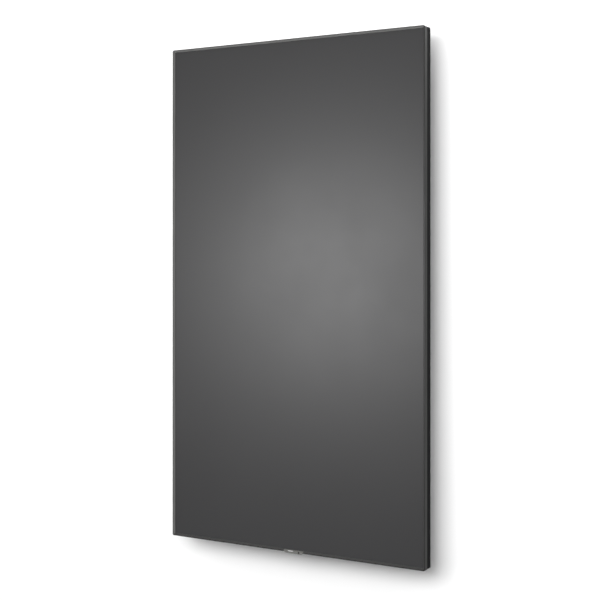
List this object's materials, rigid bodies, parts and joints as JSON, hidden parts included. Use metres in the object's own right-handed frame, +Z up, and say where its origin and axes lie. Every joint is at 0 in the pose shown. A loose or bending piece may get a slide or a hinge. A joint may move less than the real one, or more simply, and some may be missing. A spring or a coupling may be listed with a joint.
{
  "type": "wall-mounted flat-panel display",
  "caption": "Wall-hung portrait flat-panel display with a narrow bezel, a sensor pod below, a raised rear cover, cable bay, handles and four wall-mount inserts.",
  "frame": {"origin": "centre of the flat rear face, in the middle of the four wall-mount inserts", "axes": "+Z up the long side, +X to the right seen from in front, the screen faces -Y and the wall is on the +Y side"},
  "size_m": [0.705, 0.062, 1.237],
  "materials": {
    "black_bezel": "fine matte black",
    "screen_glass": "anti-glare",
    "plated_steel": "zinc plated",
    "white_plastic": "matte white",
    "clear_film": "satin",
    "circuit_board": "solder mask",
    "led_strip": "white solder mask",
    "rear_plastic": "fine texture",
    "black_plastic": "satin",
    "key_plastic": "satin",
    "black_steel": "powder coated",
    "insert_metal": "machined",
    "ribbon": "satin",
    "wire_sheath": "matte",
    "badge_metal": "satin",
    "ir_filter": "gloss",
    "light_pipe": "frosted"
  },
  "bodies": {
    "panel": {"ac_inlet": "black_plastic", "back_chassis": "plated_steel", "backlight_wire": "wire_sheath", "bezel_bottom": "black_bezel", "bezel_left": "black_bezel", "bezel_right": "black_bezel", "bezel_top": "black_bezel", "board_link_ribbon": "ribbon", "corner_bracket_bottom_left": "plated_steel", "corner_bracket_bottom_right": "plated_steel", "corner_bracket_top_left": "plated_steel", "corner_bracket_top_right": "plated_steel", "diffuser_plate": "white_plastic", "fan_frame_left": "black_plastic", "fan_frame_right": "black_plastic", "handle_bottom": "black_steel", "handle_top": "black_steel", "ir_window": "ir_filter", "key_board": "circuit_board", "key_frame": "black_plastic", "lcd_cell": "screen_glass", "led_bar_1": "led_strip", "led_bar_2": "led_strip", "led_bar_3": "led_strip", "led_bar_4": "led_strip", "main_board": "circuit_board", "mains_wire": "wire_sheath", "mid_frame": "black_plastic", "mount_insert_bottom_left": "insert_metal", "mount_insert_bottom_right": "insert_metal", "mount_insert_top_left": "insert_metal", "mount_insert_top_right": "insert_metal", "mount_rail_left": "plated_steel", "mount_rail_right": "plated_steel", "optical_film_stack": "clear_film", "option_slot_cover": "black_steel", "pod_badge": "badge_metal", "power_board": "circuit_board", "rear_cover": "rear_plastic", "reflector_sheet": "white_plastic", "sensor_board": "circuit_board", "sensor_pod": "black_bezel", "source_board_lower": "circuit_board", "source_board_upper": "circuit_board", "speaker_left": "black_plastic", "speaker_right": "black_plastic", "status_light": "light_pipe", "terminal_plate": "plated_steel", "timing_board": "circuit_board", "timing_ribbon": "ribbon", "timing_shield": "plated_steel"},
    "mains_rocker": {"mains_rocker": "black_plastic"},
    "fan_rotor_left": {"fan_rotor_left": "black_plastic"},
    "fan_rotor_right": {"fan_rotor_right": "black_plastic"},
    "key_input": {"key_input": "key_plastic"},
    "key_menu": {"key_menu": "key_plastic"},
    "key_minus": {"key_minus": "key_plastic"},
    "key_plus": {"key_plus": "key_plastic"},
    "key_power": {"key_power": "key_plastic"}
  },
  "joints": [
    {"name": "mains_rocker_tilt", "type": "hinge", "parent": "panel", "child": "mains_rocker", "pos_m": [0.166, -0.0155, -0.3415], "axis": [1, 0, 0], "range_deg": [0, 20]},
    {"name": "key_input_press", "type": "slide", "parent": "panel", "child": "key_input", "axis": [0, -1, 0], "range_m": [0, 0.0005], "stiffness_N_per_m": 800, "springref_m": -0.0005},
    {"name": "key_menu_press", "type": "slide", "parent": "panel", "child": "key_menu", "axis": [0, -1, 0], "range_m": [0, 0.0005], "stiffness_N_per_m": 800, "springref_m": -0.0005},
    {"name": "key_minus_press", "type": "slide", "parent": "panel", "child": "key_minus", "axis": [0, -1, 0], "range_m": [0, 0.0005], "stiffness_N_per_m": 800, "springref_m": -0.0005},
    {"name": "key_plus_press", "type": "slide", "parent": "panel", "child": "key_plus", "axis": [0, -1, 0], "range_m": [0, 0.0005], "stiffness_N_per_m": 800, "springref_m": -0.0005},
    {"name": "key_power_press", "type": "slide", "parent": "panel", "child": "key_power", "axis": [0, -1, 0], "range_m": [0, 0.0005], "stiffness_N_per_m": 800, "springref_m": -0.0005},
    {"name": "fan_spin_left", "type": "hinge", "parent": "panel", "child": "fan_rotor_left", "pos_m": [-0.15, -0.016, 0.32], "axis": [0, 1, 0], "continuous": true},
    {"name": "fan_spin_right", "type": "hinge", "parent": "panel", "child": "fan_rotor_right", "pos_m": [0.15, -0.016, 0.32], "axis": [0, 1, 0], "continuous": true}
  ]
}
